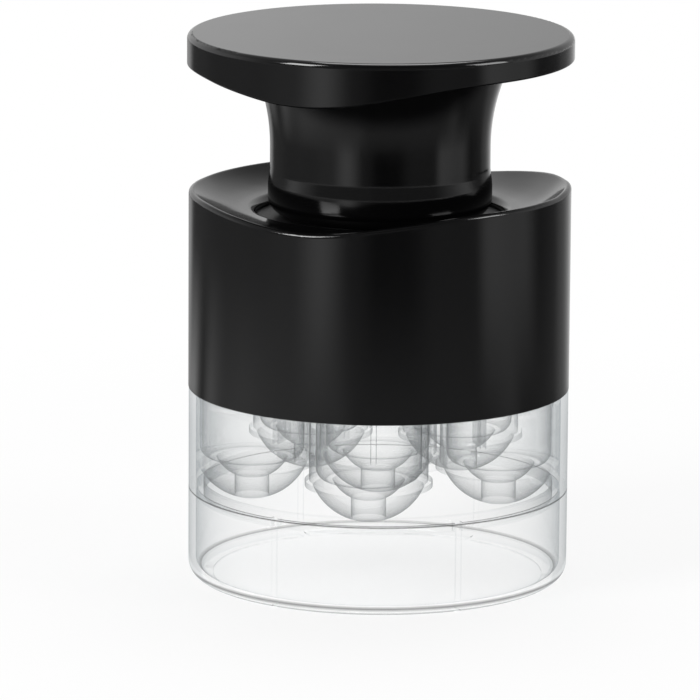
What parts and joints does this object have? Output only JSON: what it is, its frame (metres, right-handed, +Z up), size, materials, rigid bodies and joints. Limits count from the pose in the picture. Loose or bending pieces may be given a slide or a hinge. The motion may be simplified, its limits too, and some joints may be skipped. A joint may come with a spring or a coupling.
{
  "type": "press-down cherry pitter",
  "caption": "Press-down cherry pitter: a wide disc handle drives sprung pins through a clear tray of cherry pockets into a clear stone container below.",
  "frame": {"origin": "centre of the resting plane, on the pitter's axis", "axes": "+Z up along the pitter's axis; -Y is the front, where one outer pocket lies"},
  "size_m": [0.1, 0.1, 0.143],
  "materials": {
    "black_gloss": "glossy moulded ABS, black",
    "black_satin": "satin moulded inner parts, black",
    "clear_plastic": "clear polished moulding",
    "steel": "drawn stainless wire and turned pins"
  },
  "bodies": {
    "container": {"pit_container": "clear_plastic"},
    "tray": {"cherry_tray": "clear_plastic"},
    "head": {"housing": "black_gloss", "stripper_plate": "black_satin", "stripper_screw_1": "steel", "stripper_screw_2": "steel", "stripper_screw_3": "steel", "stripper_screw_4": "steel", "stripper_screw_5": "steel"},
    "plunger": {"press_handle": "black_gloss", "disc_cap": "black_gloss", "pin_carrier": "black_satin", "pin_retainer": "black_satin", "centre_pin": "steel", "centre_screw": "steel", "return_spring": "steel", "pitting_pin_1": "steel", "pitting_pin_2": "steel", "pitting_pin_3": "steel", "pitting_pin_4": "steel", "pitting_pin_5": "steel", "handle_screw_1": "steel", "handle_screw_2": "steel", "handle_screw_3": "steel"}
  },
  "joints": [
    {"name": "tray_lift", "type": "slide", "parent": "container", "child": "tray", "axis": [0, 0, 1], "range_m": [0, 0.03]},
    {"name": "head_lift", "type": "slide", "parent": "tray", "child": "head", "axis": [0, 0, 1], "range_m": [0, 0.06]},
    {"name": "press", "type": "slide", "parent": "head", "child": "plunger", "axis": [0, 0, -1], "range_m": [0, 0.031], "stiffness_N_per_m": 600, "springref_m": -0.01, "deforming": ["return_spring"]}
  ]
}
